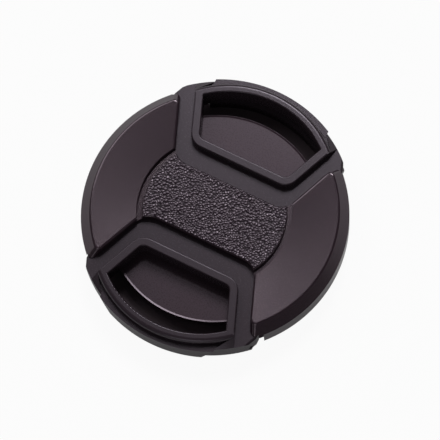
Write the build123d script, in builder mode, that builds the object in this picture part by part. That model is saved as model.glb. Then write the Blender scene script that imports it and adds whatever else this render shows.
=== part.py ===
# Centre-pinch lens cap for a 58 mm filter thread.
# The front face looks along +Z, the clips slide along Y, and the jaw tips stand on Z = 0.
import os
from math import cos, hypot, radians, sin, sqrt, tan

from build123d import *

os.makedirs("parts", exist_ok=True)

# Filter ring that the cap fits
thread_r = 28.95
thread_depth = 0.45
flange_width = 2.05

# Cover: heights run forward from the seat on the filter ring
seat_z = 2.5
side_height = 5.2
bevel_width = 2.35
bevel_height = 2.7
wing_dish = 0.45
disc_r = 16.75
disc_drop = 0.2
groove_width = 1.2
groove_depth = 1.0
groove_round = 0.12
side_wall = 1.7
wall_gap = 0.9
wing_skin = 1.5
lid_gap = 0.25
rail = 1.3
edge_round = 0.3
wing_round = 0.6

# Windows of the cover that the clips show through
window_y = 7.4
window_half = 14.2
window_corner = 4.4
flare = 22.0
tip_lap = 1.25
tip_round = 1.2

# Clip, drawn in the place where it is flush with the body
rest_out = 1.5
travel = 2.5
clip_end_gap = 1.1
clip_end_round = 3.0
clip_corner = 1.2
end_bevel = 0.5
slide_gap = 0.3

# Rim, finger pocket and grip lip of the clip
rim_height = 2.3
rim_wall = 2.0
rim_setback = 0.7
end_step = 0.6
wall_round = 1.0
pocket_y = 12.9
pocket_half = 11.25
pocket_corner = 1.7
pocket_depth = 3.0
outer_wall_y = 4.7
outer_wall = 2.1
scoop_inset = 3.28
lip_out = 0.5
lip_lap = 0.3
lip_taper = 2.8
lip_rise = 0.2

# Jaw that reaches into the filter ring
jaw_wall = 1.2
jaw_angle = 30.0
foot = 1.2
foot_inset = 0.4
skirt_lap = 3.2

# Back plate
plate = 1.7
plate_gap = 0.2
floor_gap = 1.2
ring_inset = 4.2
ring_wall = 1.4
ring_height = 1.5
plug_gap = 0.75
plug_wall = 1.2
rib = 1.6
rib_gap = 3.5
peg_x = 4.4
peg_y = 7.0
peg_r = 1.0
peg_gap = 0.1

# Stakes that hold the plate to the cover
stake_inset = 2.7
stake_r = 0.9
stake_head_r = 1.35
stake_head = 0.6
stake_gap = 0.05

# Springs
spring_x = 9.0
spring_r = 1.1
spring_wire = 0.32
spring_turns = 7
spring_steps = 12
spring_sides = 6
spring_gap = 0.15
spring_pip = 1.2
seat_y = 9.6

# Overshoot of a cut, and depth that one feature is sunk into the next
over = 1.0
sink = 0.2
near = 0.01

# Radii that follow from those above
body_r = thread_r + flange_width
wall_r = body_r - side_wall
wing_edge_r = body_r - bevel_width
groove_r = disc_r + groove_width
jaw_r = thread_r - thread_depth
jaw_in_r = jaw_r - jaw_wall
floor_r = jaw_in_r + rest_out - travel - floor_gap
ring_r = floor_r - ring_inset
plug_r = thread_r - plug_gap
rim_outer_r = body_r - rim_setback - outer_wall_y
outer_wall_r = rim_outer_r - outer_wall
span = 3 * body_r

# Heights that follow
shoulder_z = seat_z + side_height
wing_edge_z = shoulder_z + bevel_height
wing_inner_z = wing_edge_z - wing_dish
disc_z = wing_inner_z - disc_drop
groove_z = disc_z - groove_depth
ceiling_z = shoulder_z + lid_gap
rim_top = shoulder_z + rim_height
lip_top = shoulder_z + lip_rise
floor_z = shoulder_z - pocket_depth
plate_rear = floor_z - plate
clip_floor = floor_z + lid_gap
foot_top = seat_z + foot
spring_z = clip_floor + spring_r
slot_top = spring_z + spring_r + spring_gap

# Slant of the windows and pockets
slope = tan(radians(flare))
rim_half = pocket_half + rim_wall / cos(radians(flare))


def flared(y, start_y, start_half):
    return start_half + (y - start_y) * slope


def flare_end(start_y, start_half, centre_y, radius):
    """Point where a flared side meets a circle that is centred on the Y axis."""
    side = flared(0, start_y, start_half)
    b = side * slope - centre_y
    c = side ** 2 + centre_y ** 2 - radius ** 2
    y = (sqrt(b ** 2 - (1 + slope ** 2) * c) - b) / (1 + slope ** 2)
    return flared(y, start_y, start_half), y


# Widths that follow: the clip reaches past the wing tips, and the rim ends at its outer wall
tip_x = flare_end(window_y, window_half, 0, body_r)[0]
corner_x, corner_y = flare_end(pocket_y, rim_half, outer_wall_y, rim_outer_r)
clip_half = tip_x + tip_lap
channel_half = clip_half + slide_gap
plate_half = channel_half + plate_gap
foot_half = clip_half - foot_inset
jaw_half = jaw_r * sin(radians(jaw_angle))
stake_x = ring_r - ring_wall - stake_inset
rib_half = stake_x - rib_gap
rib_face = rib / 2
clip_end_y = rib_face + travel - rest_out + clip_end_gap
clip_corner_y = sqrt(body_r ** 2 - clip_half ** 2)
scoop_half = corner_x - scoop_inset
scoop_y = sqrt(body_r ** 2 - scoop_half ** 2)
lip_top_half = scoop_half + lip_lap
lip_foot_half = lip_top_half - lip_taper

# Slope of the end blocks, which stand end_step below the rim at its corners
end_slope = (rim_height - end_step) / (body_r - hypot(corner_x, corner_y))
end_edge_r = body_r - rim_height / end_slope

# Axis of the clip: its own centre stands rest_out beyond that of the body
clip_origin = (0, rest_out, 0)
clip_axis = Axis(clip_origin, (0, 0, 1))
wall_origin = (0, rest_out + outer_wall_y, 0)


def clip_plane(z):
    return Plane(origin=(0, rest_out, z))


# Front cover: bevelled lid turned round the axis, then cut for the clips
with BuildPart() as front_cover:
    with BuildSketch(Plane.XZ):
        with BuildLine():
            Polyline(
                (0, ceiling_z),
                (0, disc_z),
                (disc_r, disc_z),
                (disc_r, groove_z),
                (groove_r, groove_z),
                (groove_r, wing_inner_z),
                (wing_edge_r, wing_edge_z),
                (body_r, shoulder_z),
                (body_r, seat_z),
                (wall_r, seat_z),
                (wall_r, ceiling_z),
                close=True,
            )
        make_face()
    revolve(axis=Axis.Z)
    # Channel that the clips slide in
    with BuildSketch(Plane.XY.offset(seat_z - over)):
        Rectangle(2 * channel_half, span)
    extrude(amount=ceiling_z - seat_z + over, mode=Mode.SUBTRACT)
    # Side wall cut back at its ends, clear of the clips
    with BuildSketch(Plane.XY.offset(seat_z - over)):
        Rectangle(2 * (channel_half + wall_gap), span)
        Circle(wall_r, mode=Mode.SUBTRACT)
    extrude(amount=side_height + over, mode=Mode.SUBTRACT)
    # Hollow under each wing
    with BuildSketch(Plane.XY.offset(ceiling_z)):
        Circle(wall_r)
        Rectangle(2 * (channel_half + rail), span, mode=Mode.SUBTRACT)
    extrude(amount=wing_inner_z - wing_skin - ceiling_z, mode=Mode.SUBTRACT)
    # Rails beside the channel
    with BuildSketch(Plane.XY.offset(floor_z)):
        Circle(wall_r + sink)
        Rectangle(2 * channel_half, span, mode=Mode.SUBTRACT)
        Rectangle(2 * (channel_half + rail), span, mode=Mode.INTERSECT)
    extrude(amount=ceiling_z - floor_z)
    # Windows
    with BuildSketch(Plane.XY.offset(ceiling_z - over)) as window:
        with BuildLine():
            Polyline(
                (-window_half, window_y),
                (window_half, window_y),
                (flared(span, window_y, window_half), span),
                (-flared(span, window_y, window_half), span),
                close=True,
            )
        make_face()
        fillet(window.vertices().group_by(Axis.Y)[0], window_corner)
        mirror(about=Plane.XZ)
    extrude(amount=bevel_height + 2 * over, mode=Mode.SUBTRACT)
    # Rounded wing tips, then the edges of the wings and of the disc
    tips = front_cover.edges().filter_by(
        lambda e: e.bounding_box().min.Z > shoulder_z
        and e.bounding_box().size.Z > bevel_height / 2
        and hypot(e.center().X, e.center().Y) > wing_edge_r
    )
    fillet(tips, tip_round)
    wing_edges = front_cover.edges().filter_by(
        lambda e: e.bounding_box().min.Z > wing_inner_z - near
        and hypot(e.center().X, e.center().Y) > groove_r + groove_width / 2
    )
    fillet(wing_edges, wing_round)
    disc_edges = front_cover.edges().filter_by(
        lambda e: abs(e.center().Z - disc_z) < near and abs(e.center().Y) > window_y - near
    )
    fillet(disc_edges, edge_round)
    groove_edges = front_cover.edges().filter_by(GeomType.CIRCLE).filter_by(
        lambda e: abs(e.radius - disc_r) < near and e.center().Z > groove_z + near
    )
    groove_edges += front_cover.edges().filter_by(GeomType.CIRCLE).filter_by(
        lambda e: abs(e.radius - groove_r) < near and e.center().Z > groove_z + near
    )
    fillet(groove_edges, groove_round)
    # Posts that are staked over behind the plate
    with BuildSketch(Plane.XY.offset(plate_rear - stake_head)):
        with GridLocations(2 * stake_x, 0, 2, 1):
            Circle(stake_r)
    extrude(amount=ceiling_z - plate_rear + stake_head)
    with BuildSketch(Plane.XY.offset(plate_rear - stake_head - stake_gap)):
        with GridLocations(2 * stake_x, 0, 2, 1):
            Circle(stake_head_r)
    extrude(amount=stake_head)

# Grip lip on the clip's outer face, narrower towards the rear
with BuildPart() as grip_lip:
    with BuildSketch(clip_plane(seat_z)):
        Circle(body_r + lip_out)
        Circle(body_r - over, mode=Mode.SUBTRACT)
        with Locations((0, body_r)):
            Rectangle(2 * span, 2 * body_r, mode=Mode.INTERSECT)
    extrude(amount=lip_top - seat_z)
    with BuildSketch(Plane.XZ):
        with BuildLine():
            Polyline(
                (-lip_foot_half, seat_z),
                (lip_foot_half, seat_z),
                (lip_top_half, lip_top),
                (-lip_top_half, lip_top),
                close=True,
            )
        make_face()
    extrude(amount=span, both=True, mode=Mode.INTERSECT)

# Rim: flared block with a softened edge, cut to the rounded curve of the outer wall
with BuildPart() as rim:
    with BuildSketch(clip_plane(shoulder_z - sink)) as rim_outline:
        with BuildLine():
            rim_y = pocket_y - rim_wall
            rim_start = flared(rim_y, pocket_y, rim_half)
            Polyline(
                (-rim_start, rim_y),
                (rim_start, rim_y),
                (flared(body_r, pocket_y, rim_half), body_r),
                (-flared(body_r, pocket_y, rim_half), body_r),
                close=True,
            )
        make_face()
        fillet(rim_outline.vertices().group_by(Axis.Y)[0], pocket_corner + rim_wall)
    extrude(amount=rim_height + sink)
    fillet(rim.edges().group_by(Axis.Z)[-1], edge_round)
    with BuildSketch(Plane(origin=wall_origin, x_dir=(1, 0, 0), z_dir=(0, -1, 0))):
        with BuildLine():
            crown_start = (rim_outer_r - wall_round, rim_top)
            crown_end = (rim_outer_r, rim_top - wall_round)
            RadiusArc(crown_start, crown_end, wall_round)
            Polyline(
                crown_end,
                (rim_outer_r, shoulder_z - over),
                (span, shoulder_z - over),
                (span, rim_top + over),
                (rim_outer_r - wall_round, rim_top + over),
                crown_start,
            )
        make_face()
    revolve(axis=Axis(wall_origin, (0, 0, 1)), mode=Mode.SUBTRACT)

# Upper clip
with BuildPart() as upper_clip:
    # Sliding plate
    with BuildSketch(clip_plane(clip_floor)) as plate_outline:
        Circle(body_r)
        with Locations((0, clip_end_y + body_r)):
            Rectangle(2 * clip_half, 2 * body_r, mode=Mode.INTERSECT)
        fillet(plate_outline.vertices().group_by(Axis.Y)[0], clip_end_round)
    extrude(amount=shoulder_z - clip_floor)
    # Skirt: thin at the ends, as thick as the outer wall behind the pocket
    with BuildSketch(clip_plane(seat_z)):
        Circle(body_r)
        Circle(wall_r, mode=Mode.SUBTRACT)
        with Locations((0, body_r)):
            Rectangle(2 * clip_half, 2 * body_r, mode=Mode.INTERSECT)
    extrude(amount=clip_floor - seat_z)
    with BuildSketch(clip_plane(seat_z)):
        Circle(body_r)
        with Locations((0, outer_wall_y)):
            Circle(outer_wall_r, mode=Mode.SUBTRACT)
        with Locations((0, corner_y - skirt_lap + body_r)):
            Rectangle(2 * foot_half, 2 * body_r, mode=Mode.INTERSECT)
    extrude(amount=clip_floor - seat_z)
    skirt_corners = upper_clip.edges().filter_by(Axis.Z).filter_by(
        lambda e: abs(abs(e.center().X) - clip_half) < near
        and abs(e.center().Y - rest_out - clip_corner_y) < near
    )
    chamfer(skirt_corners, clip_corner)
    # End blocks of the rim, sloped down to the edge
    with BuildSketch(clip_plane(shoulder_z - sink)):
        with BuildLine():
            Polyline(
                (corner_x - rim_wall / 2, corner_y - rim_wall / 2),
                (corner_x - sink, corner_y),
                (scoop_half, scoop_y),
                (scoop_half, body_r),
                (flared(body_r, pocket_y, rim_half), body_r),
                (flared(corner_y - rim_wall / 2, pocket_y, rim_half), corner_y - rim_wall / 2),
                close=True,
            )
        make_face()
        mirror(about=Plane.YZ)
    extrude(amount=rim_height + sink)
    with BuildSketch(Plane(origin=clip_origin, x_dir=(1, 0, 0), z_dir=(0, -1, 0))):
        with BuildLine():
            Polyline(
                (body_r, shoulder_z - over),
                (body_r, shoulder_z),
                (end_edge_r, rim_top),
                (end_edge_r, rim_top + over),
                (span, rim_top + over),
                (span, shoulder_z - over),
                close=True,
            )
        make_face()
    revolve(axis=clip_axis, mode=Mode.SUBTRACT)
    add(rim.part)
    add(grip_lip.part)
    # Foot that carries the jaw
    with BuildSketch(clip_plane(seat_z)):
        Circle(body_r)
        Circle(jaw_in_r, mode=Mode.SUBTRACT)
        with Locations((0, body_r)):
            Rectangle(2 * foot_half, 2 * body_r, mode=Mode.INTERSECT)
    extrude(amount=foot)
    # Finger pocket, right through to the foot
    with BuildSketch(clip_plane(foot_top)) as pocket:
        with BuildLine():
            Polyline(
                (-pocket_half, pocket_y),
                (pocket_half, pocket_y),
                (flared(body_r, pocket_y, pocket_half), body_r),
                (-flared(body_r, pocket_y, pocket_half), body_r),
                close=True,
            )
        make_face()
        fillet(pocket.vertices().group_by(Axis.Y)[0], pocket_corner)
        with Locations((0, outer_wall_y)):
            Circle(outer_wall_r, mode=Mode.INTERSECT)
    extrude(amount=rim_top, mode=Mode.SUBTRACT)
    # Rounded edge of the pocket and bevelled ends of the plate
    rim_face = upper_clip.faces().filter_by(Axis.Z).sort_by(Axis.Z)[-1]
    fillet(rim_face.inner_wires()[0].edges(), edge_round)
    end_edges = upper_clip.edges().filter_by(
        lambda e: abs(e.center().Z - shoulder_z) < near and abs(e.center().X) > clip_half - clip_corner
    )
    chamfer(end_edges, end_bevel)
    # Jaw
    with BuildSketch(clip_plane(0)):
        Circle(jaw_r)
        Circle(jaw_in_r, mode=Mode.SUBTRACT)
        with Locations((0, body_r)):
            Rectangle(2 * jaw_half, 2 * body_r, mode=Mode.INTERSECT)
    extrude(amount=foot_top)
    # Slots for the springs, open to the rear
    with BuildSketch(clip_plane(clip_floor - over)):
        with Locations((-spring_x, seat_y / 2), (spring_x, seat_y / 2)):
            Rectangle(2 * (spring_r + spring_gap), seat_y)
    extrude(amount=slot_top - clip_floor + over, mode=Mode.SUBTRACT)
    # Slots for the stop pegs, also open to the rear
    peg_slot = travel + 2 * (peg_r + peg_gap)
    peg_slot_y = peg_y - rest_out + travel / 2
    with BuildSketch(clip_plane(clip_floor - over)):
        with Locations((-peg_x, peg_slot_y), (peg_x, peg_slot_y)):
            SlotOverall(peg_slot, 2 * (peg_r + peg_gap), rotation=90)
    extrude(amount=slot_top - clip_floor + over, mode=Mode.SUBTRACT)

# Lower clip: the same moulding turned half a turn
with BuildPart() as lower_clip:
    add(upper_clip.part, rotation=(0, 0, 180))

# Back plate: its front face is the floor of both pockets
with BuildPart() as back_plate:
    with BuildSketch(Plane.XZ) as floor_section:
        with Locations((0, plate_rear)):
            Rectangle(floor_r, plate, align=Align.MIN)
        fillet(floor_section.vertices().group_by(Axis.Y)[-1].sort_by(Axis.X)[-1], edge_round)
    revolve(axis=Axis.Z)
    # Ends under the wings
    with BuildSketch(Plane.XY.offset(plate_rear)):
        Circle(wall_r - plate_gap)
        Rectangle(2 * plate_half, span, mode=Mode.SUBTRACT)
    extrude(amount=plate)
    # Stiffening ring on the rear
    with BuildSketch(Plane.XY.offset(plate_rear - ring_height)):
        Circle(ring_r)
        Circle(ring_r - ring_wall, mode=Mode.SUBTRACT)
    extrude(amount=ring_height)
    # Plug arcs that enter the filter ring
    with BuildSketch(Plane.XY):
        Circle(plug_r)
        Circle(plug_r - plug_wall, mode=Mode.SUBTRACT)
        Rectangle(2 * plate_half, span, mode=Mode.SUBTRACT)
    extrude(amount=plate_rear)
    # Pegs that stop the clips at their outer ends
    with BuildSketch(Plane.XY.offset(floor_z)):
        with GridLocations(2 * peg_x, 2 * peg_y, 2, 2):
            Circle(peg_r)
    extrude(amount=slot_top - floor_z - peg_gap)
    # Rib that the springs push on, with a pip in each coil
    with BuildSketch(Plane.XY.offset(floor_z)):
        Rectangle(2 * rib_half, rib)
    extrude(amount=shoulder_z - floor_z)
    with BuildSketch(Plane.XZ):
        with Locations((-spring_x, spring_z), (spring_x, spring_z)):
            Circle(spring_r - spring_wire - spring_gap)
    extrude(amount=rib_face + spring_pip, both=True)
    # Holes for the stakes
    with BuildSketch(Plane.XY.offset(plate_rear)):
        with GridLocations(2 * stake_x, 0, 2, 1):
            Circle(stake_r + stake_gap)
    extrude(amount=plate, mode=Mode.SUBTRACT)

# Springs, one piece each: the coil runs from the rib to the end of the clip's slot
coil_r = spring_r - spring_wire / 2
coil_start = rib_face + spring_wire / 2
coil_length = rest_out + seat_y - rib_face - spring_wire
coil_steps = spring_turns * spring_steps


def coil_point(step):
    turn = radians(360 * step / spring_steps)
    along = coil_start + coil_length * step / coil_steps
    return (spring_x + coil_r * cos(turn), along, spring_z + coil_r * sin(turn))


with BuildPart() as upper_spring_right:
    with BuildLine() as coil:
        Polyline(*[coil_point(step) for step in range(coil_steps + 1)])
    with BuildSketch(Plane(origin=coil.line @ 0, z_dir=coil.line % 0)):
        RegularPolygon(spring_wire / 2, spring_sides)
    sweep(path=coil.line, transition=Transition.RIGHT)

with BuildPart() as upper_spring_left:
    with Locations((-2 * spring_x, 0, 0)):
        add(upper_spring_right.part)

with BuildPart() as lower_spring_left:
    add(upper_spring_right.part, rotation=(0, 0, 180))

with BuildPart() as lower_spring_right:
    add(upper_spring_left.part, rotation=(0, 0, 180))

pieces = {
    "front_cover": front_cover,
    "upper_clip": upper_clip,
    "lower_clip": lower_clip,
    "back_plate": back_plate,
    "upper_spring_right": upper_spring_right,
    "upper_spring_left": upper_spring_left,
    "lower_spring_left": lower_spring_left,
    "lower_spring_right": lower_spring_right,
}
for name, piece in pieces.items():
    piece.part.label = name
    export_step(piece.part, f"parts/{name}.step")
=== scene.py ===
import math

import bmesh
import bpy
from mathutils import Matrix, Vector, noise


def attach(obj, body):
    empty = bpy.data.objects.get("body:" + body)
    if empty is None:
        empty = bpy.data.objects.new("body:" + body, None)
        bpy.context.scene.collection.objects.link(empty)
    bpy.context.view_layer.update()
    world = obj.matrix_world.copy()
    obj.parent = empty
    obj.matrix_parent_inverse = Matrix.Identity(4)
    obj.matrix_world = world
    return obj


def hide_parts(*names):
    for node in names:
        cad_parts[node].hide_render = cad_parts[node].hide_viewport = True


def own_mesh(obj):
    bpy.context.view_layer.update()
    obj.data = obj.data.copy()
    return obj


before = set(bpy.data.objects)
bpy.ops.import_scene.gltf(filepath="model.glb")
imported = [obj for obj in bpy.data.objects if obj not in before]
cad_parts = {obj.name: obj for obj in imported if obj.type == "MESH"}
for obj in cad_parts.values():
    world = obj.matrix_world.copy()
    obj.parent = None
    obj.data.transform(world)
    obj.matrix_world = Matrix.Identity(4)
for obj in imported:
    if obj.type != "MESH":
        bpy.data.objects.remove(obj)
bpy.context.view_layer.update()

# Sizes are written in millimetres and angles in degrees. MM turns a size into metres.
MM = 0.001

# Clips: how far they stand out at rest
REST_OUT = 1.5

# Outline of the grained disc, between the ring groove and the windows of the clips
DISC_R = 16.75
DISC_Z = 9.75
DISC_ROUND = 0.3
GROOVE_ROUND = 0.12
WINDOW_Y = 7.4
WINDOW_CORNER = 4.4
WINDOW_CORNER_X = 11.23

# Grain of the disc: mesh step, pebble width, heights above the cover, and depth of the hidden underside
GRAIN_STEP = 0.09
GRAIN_SIZE = 0.62
GRAIN_BASE = 0.01
GRAIN_HEIGHT = 0.13
GRAIN_SINK = 0.5

# Shape of a pebble: how steeply it rises from its crease, and how far its top is domed
PEBBLE_RISE = 2.0
PEBBLE_DOME = 0.8
PEBBLE_REACH = 0.7

# Edge of the grain: strip that is cut off, plain strip, width of the fade to full grain, and depth of
# the plain strip in the cover
EDGE_CUT = 0.02
EDGE_PLAIN = 0.06
EDGE_FADE = 0.2
EDGE_SINK = 0.04

# Upturned lip along the edge of the pocket floors: its ramp, the run-in below the floor, the narrow
# strips at the ends of the ramp, the small bevel at the top and the depth in the plate
POCKET_R = 25.1
POCKET_Z = 4.7
LIP_WIDTH = 0.5
LIP_SLOPE = 13.0
LIP_ANGLE = 38.0
LIP_RUN_IN = 0.1
LIP_LOOP = 0.05
LIP_EDGE = 0.06
LIP_SINK = 0.3
LIP_STEPS = 60

# Ridges of the jaws. Their half width and first place are in pitches.
THREAD_R = 28.95
THREAD_DEPTH = 0.45
THREAD_PITCH = 0.75
THREAD_TURNS = 3
THREAD_SINK = 0.1
THREAD_STEPS = 40
RIDGE_HALF = 0.45
RIDGE_FIRST = 0.6
CREST_HALF = 0.05
JAW_ANGLE = 30.0

# Coil springs
SPRING_X = 9.0
SPRING_Z = 6.05
SPRING_R = 1.1
SPRING_WIRE = 0.32
SPRING_TURNS = 7
SPRING_START = 0.8
SPRING_END = 11.1
WIRE_SIDES = 10
TURN_STEPS = 24

# Plastic and steel: refraction, sizes and strength of the patterns, and spread of the roughness
PLASTIC_IOR = 1.5
TINT_DRIFT = 14.0
GRIT_DEPTH = 0.03
GRIT_BUMP = 0.15
GLOSS_SPREAD = 0.06
WIRE_MARKS = 0.1

# Grained disc: share of the grain's height above which the shine is full and the painted shade of the
# creases is gone, and shine left in the creases
PEBBLE_TOP = 0.6
CREASE_SHINE = 0.05

# Floor: half its width, the radius of the painted shade (a dark disc) under the cap, and the shares of plain
# white that the paper shows to the camera and to shiny surfaces
FLOOR_HALF = 600.0
PAINTED_SHADE_R = 29.45
SHOWN_SHARE = 0.94
MIRRORED_SHARE = 0.15

# The camera looks down at the front face. Turns are counted from +X towards +Y, and CAMERA_UP is
# the turn that points up in the picture. The point that the camera aims at falls on AIM_PIXEL.
CAMERA_TURN = -55.1
CAMERA_RISE = 72.77
CAMERA_UP = 117.0
CAMERA_DISTANCE = 700.0
CAMERA_AIM_Z = 7.7
IMAGE = 440
PIXELS_PER_MM = 4.338
AIM_PIXEL = (214.9, 213.9)
SENSOR = 36.0

# Light: distance of the lamps from the cap, an upward direction that no beam runs along, and
# strength of the world
LAMP_DISTANCE = 2000.0
LAMP_UP = Vector((0, 1, 0.1))
WORLD_STRENGTH = 0.1


def linear(colour):
    """Linear RGBA from an sRGB hex colour."""
    channels = [int(colour[i:i + 2], 16) / 255 for i in (1, 3, 5)]
    return [c / 12.92 if c <= 0.04045 else ((c + 0.055) / 1.055) ** 2.4 for c in channels] + [1.0]


def finish_mesh(name, bm):
    """A smooth-shaded object, with its place in its mesh, from a bmesh in millimetres."""
    bmesh.ops.scale(bm, vec=(MM, MM, MM), verts=bm.verts)
    mesh = bpy.data.meshes.new(name)
    bm.to_mesh(mesh)
    bm.free()
    mesh.shade_smooth()
    piece = bpy.data.objects.new(name, mesh)
    bpy.context.scene.collection.objects.link(piece)
    return piece


def border(bm):
    """The open edges of a mesh."""
    return [edge for edge in bm.edges if edge.is_boundary]


def close_up(bm):
    """Fill the openings of a mesh and turn its faces outwards."""
    bmesh.ops.holes_fill(bm, edges=border(bm), sides=0)
    bmesh.ops.recalc_face_normals(bm, faces=bm.faces)


def sweep(bm, profile, centre, side, half_angle, steps):
    """Turn a closed profile of radii and heights about an upright line, half the angle to each side of Y."""
    start = math.radians(90 - half_angle)
    verts = [
        bm.verts.new(centre + Vector((r * math.cos(start), side * r * math.sin(start), z)))
        for r, z in profile
    ]
    edges = [bm.edges.new((verts[i], verts[i - 1])) for i in range(len(verts))]
    bmesh.ops.spin(
        bm,
        geom=edges,
        cent=centre,
        axis=(0, 0, side),
        angle=math.radians(2 * half_angle),
        steps=steps,
    )


# Grained centre of the cover


def round_over(inside, radius):
    """Drop of a rounded edge at a distance inside its outline."""
    if inside >= radius:
        return 0.0
    return radius - math.sqrt(max(radius ** 2 - (radius - inside) ** 2, 0.0))


def window_distance(x, y):
    """Distance of a point on the disc from the nearer window of the clips."""
    if abs(x) <= WINDOW_CORNER_X:
        return WINDOW_Y - abs(y)
    centre_y = WINDOW_Y + WINDOW_CORNER
    return math.hypot(abs(x) - WINDOW_CORNER_X, abs(y) - centre_y) - WINDOW_CORNER


def pebble(x, y):
    """Height of the leather-like grain, from 0 in a crease to 1 on a pebble."""
    near, next_near = noise.voronoi(Vector((x / GRAIN_SIZE, y / GRAIN_SIZE, 0.0)))[0][:2]
    dome = 1.0 - PEBBLE_DOME * min(near, PEBBLE_REACH) ** 2
    return min(PEBBLE_RISE * (next_near - near), 1.0) * dome


def grained_disc():
    across = 2 * DISC_R
    deep = 2 * WINDOW_Y + 2 * WINDOW_CORNER
    bm = bmesh.new()
    bmesh.ops.create_grid(
        bm, x_segments=int(across / GRAIN_STEP), y_segments=int(deep / GRAIN_STEP), size=0.5
    )
    bmesh.ops.scale(bm, vec=(across, deep, 1), verts=bm.verts)
    outside = []
    for vert in bm.verts:
        x, y = vert.co.x, vert.co.y
        rim = DISC_R - math.hypot(x, y)
        side = window_distance(x, y)
        inside = min(rim, side)
        if inside < EDGE_CUT:
            outside.append(vert)
            continue
        shown = min(max((inside - EDGE_PLAIN) / EDGE_FADE, 0.0), 1.0)
        grain = GRAIN_BASE + GRAIN_HEIGHT * pebble(x, y)
        drop = round_over(rim, GROOVE_ROUND) + round_over(side, DISC_ROUND)
        vert.co.z = DISC_Z - drop + shown * grain - (1 - shown) * EDGE_SINK
    bmesh.ops.delete(bm, geom=outside, context="VERTS")
    bmesh.ops.delete(bm, geom=[vert for vert in bm.verts if not vert.link_faces], context="VERTS")
    # The sides and the underside are sunk in the cover
    for part in bmesh.ops.extrude_edge_only(bm, edges=border(bm))["geom"]:
        if isinstance(part, bmesh.types.BMVert):
            part.co.z = DISC_Z - GRAIN_SINK
    close_up(bm)
    return finish_mesh("grained_disc", bm)


# Upturned lip along the edge of the pocket floors


def floor_lip():
    bm = bmesh.new()
    slope = math.tan(math.radians(LIP_SLOPE))
    # The ramp starts below the floor, and narrow strips at its ends keep its shading flat
    setbacks = (LIP_WIDTH + LIP_RUN_IN, LIP_WIDTH - LIP_LOOP, 2 * LIP_LOOP, LIP_LOOP)
    profile = [(POCKET_R - back, POCKET_Z + (LIP_WIDTH - back) * slope) for back in setbacks]
    top = profile[-1][1]
    foot = POCKET_Z - LIP_SINK
    profile += [(POCKET_R, top - LIP_EDGE), (POCKET_R, foot), (POCKET_R - LIP_WIDTH - LIP_RUN_IN, foot)]
    for side in (1, -1):
        sweep(bm, profile, Vector((0, 0, 0)), side, LIP_ANGLE, LIP_STEPS)
    close_up(bm)
    return finish_mesh("floor_lip", bm)


# Ridges of the jaws that grip the filter thread


def jaw_thread(name, side):
    bm = bmesh.new()
    root = THREAD_R - THREAD_DEPTH - THREAD_SINK
    half = RIDGE_HALF * THREAD_PITCH
    centre = Vector((0, side * REST_OUT, 0))
    for turn in range(THREAD_TURNS):
        z = THREAD_PITCH * (turn + RIDGE_FIRST)
        profile = [
            (root, z - half),
            (THREAD_R, z - CREST_HALF),
            (THREAD_R, z + CREST_HALF),
            (root, z + half),
        ]
        sweep(bm, profile, centre, side, JAW_ANGLE, THREAD_STEPS)
    close_up(bm)
    return finish_mesh(name, bm)


# Coil springs with closed ends


def coil_spring(name, x, side):
    bm = bmesh.new()
    radius = SPRING_R - SPRING_WIRE / 2
    first = SPRING_START + SPRING_WIRE / 2
    last = SPRING_END - SPRING_WIRE / 2
    # Turns and advance of the first closed turn, the open turns and the last closed turn
    stages = (
        (1, SPRING_WIRE),
        (SPRING_TURNS - 2, last - first - 2 * SPRING_WIRE),
        (1, SPRING_WIRE),
    )
    ring = bmesh.ops.create_circle(bm, segments=WIRE_SIDES, radius=SPRING_WIRE / 2)["verts"]
    bmesh.ops.translate(bm, vec=(x + radius, first, SPRING_Z), verts=ring)
    loop = list(bm.edges)
    for turns, advance in stages:
        steps = TURN_STEPS * turns
        grown = bmesh.ops.spin(
            bm,
            geom=loop,
            cent=(x, first, SPRING_Z),
            axis=(0, 1, 0),
            dvec=(0, advance / steps, 0),
            angle=2 * math.pi * turns,
            steps=steps,
        )
        loop = [part for part in grown["geom_last"] if isinstance(part, bmesh.types.BMEdge)]
    if side < 0:
        bmesh.ops.rotate(bm, cent=(0, 0, 0), matrix=Matrix.Rotation(math.pi, 3, "Z"), verts=bm.verts)
    close_up(bm)
    return finish_mesh(name, bm)


# Materials


def add(tree, kind, settings=None, values=None, links=None):
    """One node with its settings, its input values and its links."""
    made = tree.nodes.new(kind)
    for name, value in (settings or {}).items():
        setattr(made, name, value)
    for name, value in (values or {}).items():
        made.inputs[name].default_value = value
    for name, socket in (links or {}).items():
        tree.links.new(socket, made.inputs[name])
    return made


def new_material(name, values):
    """A material with a Principled shader, its plain values set, and an output."""
    material = bpy.data.materials.new(name)
    material.use_nodes = True
    tree = material.node_tree
    tree.nodes.clear()
    shader = add(tree, "ShaderNodeBsdfPrincipled", values=values)
    add(tree, "ShaderNodeOutputMaterial", links={"Surface": shader.outputs["BSDF"]})
    return material, tree, shader


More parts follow.
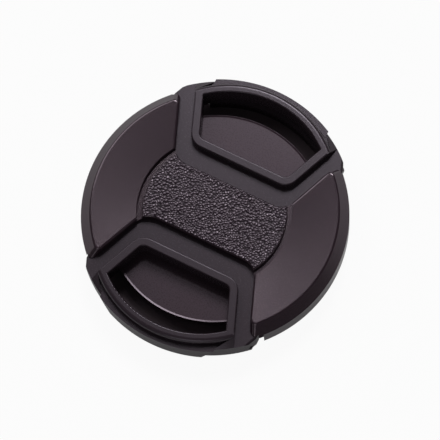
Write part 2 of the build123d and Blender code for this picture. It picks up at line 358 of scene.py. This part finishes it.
def moulded_plastic(name, colour, warm, glint, shine, roughness, grit):
    """Black ABS from a spark-eroded mould: the fine grit softens the shine, and the tint drifts a little.

    The real grit, about 0.05 mm wide, is too fine to show, so it is drawn two to five times as coarse.
    """
    plain = {"IOR": PLASTIC_IOR, "Specular IOR Level": shine, "Specular Tint": linear(glint)}
    material, tree, shader = new_material(name, plain)
    place = add(tree, "ShaderNodeTexCoord").outputs["Object"]
    drift = add(
        tree,
        "ShaderNodeTexNoise",
        values={"Scale": 1 / (TINT_DRIFT * MM), "Detail": 2.0},
        links={"Vector": place},
    )
    tint = add(
        tree,
        "ShaderNodeMix",
        settings={"data_type": "RGBA"},
        values={"A": linear(colour), "B": linear(warm)},
        links={"Factor": drift.outputs["Fac"]},
    )
    tree.links.new(tint.outputs["Result"], shader.inputs["Base Color"])
    grain = add(
        tree,
        "ShaderNodeTexNoise",
        values={"Scale": 1 / (grit * MM), "Detail": 3.0, "Roughness": 0.6},
        links={"Vector": place},
    )
    gloss = add(
        tree,
        "ShaderNodeMapRange",
        values={"To Min": roughness - GLOSS_SPREAD, "To Max": roughness + GLOSS_SPREAD},
        links={"Value": grain.outputs["Fac"]},
    )
    tree.links.new(gloss.outputs["Result"], shader.inputs["Roughness"])
    bump = add(
        tree,
        "ShaderNodeBump",
        values={"Strength": GRIT_BUMP, "Distance": GRIT_DEPTH * MM},
        links={"Height": grain.outputs["Fac"]},
    )
    tree.links.new(bump.outputs["Normal"], shader.inputs["Normal"])
    return material


def leather_grain(name, colour, warm, crease, glint, shine, roughness, grit):
    """The same plastic on the grained disc: the pebbles shine, and the creases are duller and darker, their
    colour darkened as painted shade.
    """
    material = moulded_plastic(name, colour, warm, glint, shine, roughness, grit)
    tree = material.node_tree
    shader = tree.nodes["Principled BSDF"]
    place = add(tree, "ShaderNodeTexCoord").outputs["Object"]
    height = add(tree, "ShaderNodeSeparateXYZ", links={"Vector": place})
    raised = add(
        tree,
        "ShaderNodeMapRange",
        values={"From Min": DISC_Z * MM, "From Max": (DISC_Z + PEBBLE_TOP * GRAIN_HEIGHT) * MM},
        links={"Value": height.outputs["Z"]},
    ).outputs["Result"]
    # Painted shade: the colour darkens to the crease colour towards the bottom of the creases
    tint = add(
        tree,
        "ShaderNodeMix",
        settings={"data_type": "RGBA"},
        values={"A": linear(crease)},
        links={"Factor": raised, "B": shader.inputs["Base Color"].links[0].from_socket},
    )
    tree.links.new(tint.outputs["Result"], shader.inputs["Base Color"])
    polish = add(
        tree,
        "ShaderNodeMapRange",
        values={"To Min": CREASE_SHINE, "To Max": shine},
        links={"Value": raised},
    )
    tree.links.new(polish.outputs["Result"], shader.inputs["Specular IOR Level"])
    return material


def drawn_steel(name, colour, brightest, dullest):
    """Drawn spring wire: bright metal with a slightly uneven gloss.

    The real draw marks are too fine to show, so the gloss varies over 0.1 mm instead.
    """
    material, tree, shader = new_material(name, {"Metallic": 1.0, "Base Color": linear(colour)})
    place = add(tree, "ShaderNodeTexCoord").outputs["Object"]
    marks = add(
        tree,
        "ShaderNodeTexNoise",
        values={"Scale": 1 / (WIRE_MARKS * MM), "Detail": 2.0},
        links={"Vector": place},
    )
    gloss = add(
        tree,
        "ShaderNodeMapRange",
        values={"To Min": brightest, "To Max": dullest},
        links={"Value": marks.outputs["Fac"]},
    )
    tree.links.new(gloss.outputs["Result"], shader.inputs["Roughness"])
    return material


# Smooth satin face, on which the lamps show as a soft sheen across the wings
cover_plastic = moulded_plastic(
    "satin_moulded_abs_cover",
    colour="#251b22",
    warm="#281c22",
    glint="#fbe7f5",
    shine=0.8,
    roughness=0.175,
    grit=0.2,
)
# Embossed leather look: small glints on the pebbles, with a dark net of creases between them, shaded partly
# by the grain's shape and partly by painted shade in the colour
grain_plastic = leather_grain(
    "leather_grained_abs",
    colour="#241a23",
    warm="#281b24",
    # The crease colour is painted shade
    crease="#060405",
    glint="#ffecfc",
    shine=0.8,
    roughness=0.28,
    grit=0.12,
)
# A shade greyer and duller than the cover, so that the clips stand apart from the wings
clip_plastic = moulded_plastic(
    "satin_moulded_abs_clip",
    colour="#2c252b",
    warm="#2f262b",
    glint="#fbf0ff",
    shine=0.36,
    roughness=0.26,
    grit=0.2,
)
# Matt face with a faint sheen, seen on the pocket floors
plate_plastic = moulded_plastic(
    "matt_moulded_abs_plate",
    colour="#2c2229",
    warm="#302228",
    glint="#fbeafa",
    shine=0.38,
    roughness=0.28,
    grit=0.25,
)
# Bright grey wire, hidden in the clips
spring_steel = drawn_steel("drawn_spring_steel", colour="#b9b8b4", brightest=0.22, dullest=0.4)


# Pieces


def paint(piece, material):
    """Give every slot of a piece one material."""
    if not piece.data.materials:
        piece.data.materials.append(material)
    for place in piece.material_slots:
        place.material = material


def add_piece(piece, body, material):
    paint(piece, material)
    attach(piece, body)


paint(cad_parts["front_cover"], cover_plastic)
paint(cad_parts["upper_clip"], clip_plastic)
paint(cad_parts["lower_clip"], clip_plastic)
paint(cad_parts["back_plate"], plate_plastic)

add_piece(grained_disc(), "cap_body", grain_plastic)
add_piece(floor_lip(), "cap_body", plate_plastic)
add_piece(jaw_thread("upper_jaw_thread", 1), "upper_clip_body", clip_plastic)
add_piece(jaw_thread("lower_jaw_thread", -1), "lower_clip_body", clip_plastic)

for clip, side in (("upper", 1), ("lower", -1)):
    for hand, x in (("right", SPRING_X), ("left", -SPRING_X)):
        coil = coil_spring(f"{clip}_coil_{hand}", x * side, side)
        add_piece(coil, "cap_body", spring_steel)
        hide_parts(f"{clip}_spring_{hand}")
        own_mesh(coil)


# Floor, camera and light


def paper_with_painted_shade(name, painted_shade_colour, paper_colour):
    """White paper with painted shade under the cap, a dark disc: plain white round the cap, dark in its
    slits.
    """
    material, tree, shader = new_material(name, {"Roughness": 0.9, "Specular IOR Level": 0.0})
    place = add(tree, "ShaderNodeTexCoord").outputs["Object"]
    reach = add(tree, "ShaderNodeVectorMath", settings={"operation": "LENGTH"}, links={0: place})
    paper = add(
        tree,
        "ShaderNodeMath",
        settings={"operation": "GREATER_THAN"},
        values={1: PAINTED_SHADE_R * MM},
        links={0: reach.outputs["Value"]},
    ).outputs[0]
    # Painted shade: inside the disc under the cap the floor takes the dark shade colour
    colour = add(
        tree,
        "ShaderNodeMix",
        settings={"data_type": "RGBA"},
        values={"A": linear(painted_shade_colour), "B": linear(paper_colour)},
        links={"Factor": paper},
    )
    tree.links.new(colour.outputs["Result"], shader.inputs["Base Color"])
    # The paper glows plain white to the camera, less to shiny surfaces, and throws no light of its own
    path = add(tree, "ShaderNodeLightPath")
    mirrored = add(
        tree,
        "ShaderNodeMath",
        settings={"operation": "MAXIMUM"},
        links={0: path.outputs["Is Glossy Ray"], 1: path.outputs["Is Transmission Ray"]},
    )
    dimmed = add(
        tree,
        "ShaderNodeMath",
        settings={"operation": "MULTIPLY"},
        values={1: MIRRORED_SHARE},
        links={0: mirrored.outputs[0]},
    )
    shown = add(
        tree,
        "ShaderNodeMath",
        settings={"operation": "MULTIPLY_ADD"},
        values={1: SHOWN_SHARE},
        links={0: path.outputs["Is Camera Ray"], 2: dimmed.outputs[0]},
    )
    share = add(
        tree,
        "ShaderNodeMath",
        settings={"operation": "MULTIPLY"},
        links={0: shown.outputs[0], 1: paper},
    )
    glow = add(tree, "ShaderNodeEmission", values={"Color": linear("#ffffff"), "Strength": 1.0})
    mixed = add(
        tree,
        "ShaderNodeMixShader",
        links={0: share.outputs[0], 1: shader.outputs["BSDF"], 2: glow.outputs["Emission"]},
    )
    tree.links.new(mixed.outputs["Shader"], tree.nodes["Material Output"].inputs["Surface"])
    return material


def white_floor():
    bm = bmesh.new()
    bmesh.ops.create_grid(bm, x_segments=1, y_segments=1, size=FLOOR_HALF)
    floor = finish_mesh("floor", bm)
    # The dark disc under the cap is painted shade
    material = paper_with_painted_shade("white_paper_and_painted_shade", painted_shade_colour="#5a5055", paper_colour="#d8d8d8")
    floor.data.materials.append(material)


def direction(turn, rise):
    """Unit vector at a turn from +X towards +Y and a rise above the floor."""
    turn, rise = math.radians(turn), math.radians(rise)
    return Vector((math.cos(rise) * math.cos(turn), math.cos(rise) * math.sin(turn), math.sin(rise)))


def aimed(back, up):
    """Rotation of a camera or lamp that looks against the direction back."""
    right = up.cross(back).normalized()
    return Matrix((right, back.cross(right), back)).transposed().to_4x4()


def soft_box(name, turn, rise, size, watts):
    """A square lamp aimed at the cap."""
    lamp = bpy.data.objects.new(name, bpy.data.lights.new(name, "AREA"))
    bpy.context.scene.collection.objects.link(lamp)
    back = direction(turn, rise)
    lamp.matrix_world = aimed(back, LAMP_UP)
    lamp.location = back * LAMP_DISTANCE * MM
    lamp.data.size = size * MM
    lamp.data.energy = watts


white_floor()

camera = bpy.data.objects.new("camera", bpy.data.cameras.new("camera"))
bpy.context.scene.collection.objects.link(camera)
toward = direction(CAMERA_TURN, CAMERA_RISE)
camera.matrix_world = aimed(toward, direction(CAMERA_UP, 0))
camera.location = (toward * CAMERA_DISTANCE + Vector((0, 0, CAMERA_AIM_Z))) * MM
camera.data.sensor_width = SENSOR
camera.data.lens = SENSOR * PIXELS_PER_MM * CAMERA_DISTANCE / IMAGE
camera.data.shift_x = (IMAGE / 2 - AIM_PIXEL[0]) / IMAGE
camera.data.shift_y = (AIM_PIXEL[1] - IMAGE / 2) / IMAGE
bpy.context.scene.camera = camera

# Main light from the top of the picture, a small one for the sheen of the wings, a large one from
# the upper left, and a low one from the bottom
soft_box("key_light", turn=CAMERA_UP - 13, rise=53, size=600, watts=21.5)
soft_box("sheen_light", turn=CAMERA_UP, rise=66.5, size=140, watts=1.6)
soft_box("side_light", turn=CAMERA_UP + 34, rise=42, size=1100, watts=10)
soft_box("fill_light", turn=CAMERA_UP + 170, rise=25, size=900, watts=5)

world = bpy.data.worlds.new("studio")
bpy.context.scene.world = world
world.use_nodes = True
world.node_tree.nodes["Background"].inputs["Color"].default_value = linear("#f2f2f2")
world.node_tree.nodes["Background"].inputs["Strength"].default_value = WORLD_STRENGTH

view = bpy.context.scene.view_settings
view.view_transform = "Standard"
